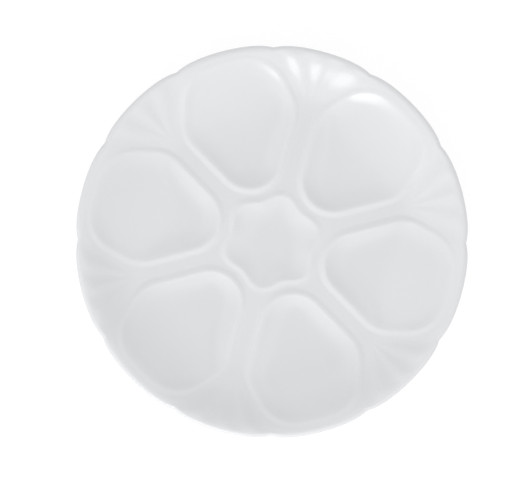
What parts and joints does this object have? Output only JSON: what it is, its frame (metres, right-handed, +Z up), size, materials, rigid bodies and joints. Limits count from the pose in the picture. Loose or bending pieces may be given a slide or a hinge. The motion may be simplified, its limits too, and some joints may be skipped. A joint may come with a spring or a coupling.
{
  "type": "oyster plate",
  "caption": "Round white glazed porcelain oyster plate with shield-shaped wells round a star-shaped sauce well, a lobed rim and a foot ring.",
  "frame": {"origin": "on the table under the middle of the plate, at the foot ring's ground face", "axes": "+Z up along the plate's axis, +Y towards the middle of one well"},
  "size_m": [0.2506, 0.2506, 0.0308],
  "materials": {
    "bare_porcelain": "unglazed fired porcelain, ground flat and matt on the foot",
    "white_glaze": "smooth white glaze with a soft gloss"
  },
  "bodies": {
    "root": {"porcelain_body": "bare_porcelain", "face_glaze": "white_glaze", "back_glaze": "white_glaze"}
  },
  "joints": []
}
